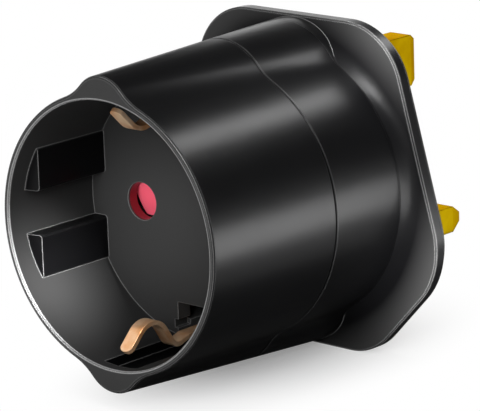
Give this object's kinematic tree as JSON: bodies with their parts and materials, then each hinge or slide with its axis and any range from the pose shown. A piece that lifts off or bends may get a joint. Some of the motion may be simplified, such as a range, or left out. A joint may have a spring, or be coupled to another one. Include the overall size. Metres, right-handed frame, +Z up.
{
  "type": "travel plug adapter",
  "caption": "Round earthed socket in a black barrel with a flared flange and flat fused-plug pins behind, and spring-shuttered pin holes in the recess floor.",
  "frame": {"origin": "middle of the plug face, on the axis of the barrel", "axes": "+Y along the plug pins, away from the socket; +Z up, towards the earth pin; +X to the right seen from the socket"},
  "size_m": [0.052, 0.0677, 0.0505],
  "materials": {
    "housing_black": "moulded, polished black",
    "pin_brass": "plain machined brass",
    "sleeve_black": "moulded black insulation",
    "strap_copper": "rolled bronze strip",
    "contact_brass": "stamped brass strip",
    "fuse_ceramic": "unglazed",
    "cap_nickel": "nickel plated",
    "cover_black": "moulded, fine texture",
    "carrier_black": "moulded insulator",
    "shutter_red": "moulded red",
    "spring_steel": "drawn wire",
    "screw_steel": "zinc plated"
  },
  "bodies": {
    "housing": {"socket_cup": "housing_black", "body_sleeve": "housing_black", "plug_base": "housing_black", "earth_pin": "pin_brass", "live_pin": "pin_brass", "neutral_pin": "pin_brass", "live_pin_sleeve": "sleeve_black", "neutral_pin_sleeve": "sleeve_black", "earth_strap": "strap_copper", "live_contact": "contact_brass", "neutral_contact": "contact_brass", "neutral_link": "contact_brass", "fuse_clip_upper": "contact_brass", "fuse_clip_lower": "contact_brass", "fuse_tube": "fuse_ceramic", "fuse_cap_upper": "cap_nickel", "fuse_cap_lower": "cap_nickel", "fuse_cover": "cover_black", "contact_carrier": "carrier_black", "shutter_guide": "shutter_red", "shutter_spring": "spring_steel", "housing_screws": "screw_steel", "joint_rivets": "contact_brass"},
    "shutter": {"shutter_rotor": "shutter_red"}
  },
  "joints": [
    {"name": "shutter_turn", "type": "hinge", "parent": "housing", "child": "shutter", "pos_m": [0, -0.02385, 0], "axis": [0, 1, 0], "range_deg": [0, 42], "stiffness_Nm_per_rad": 0.001, "springref_deg": -45.84, "deforming": ["shutter_spring"]}
  ]
}
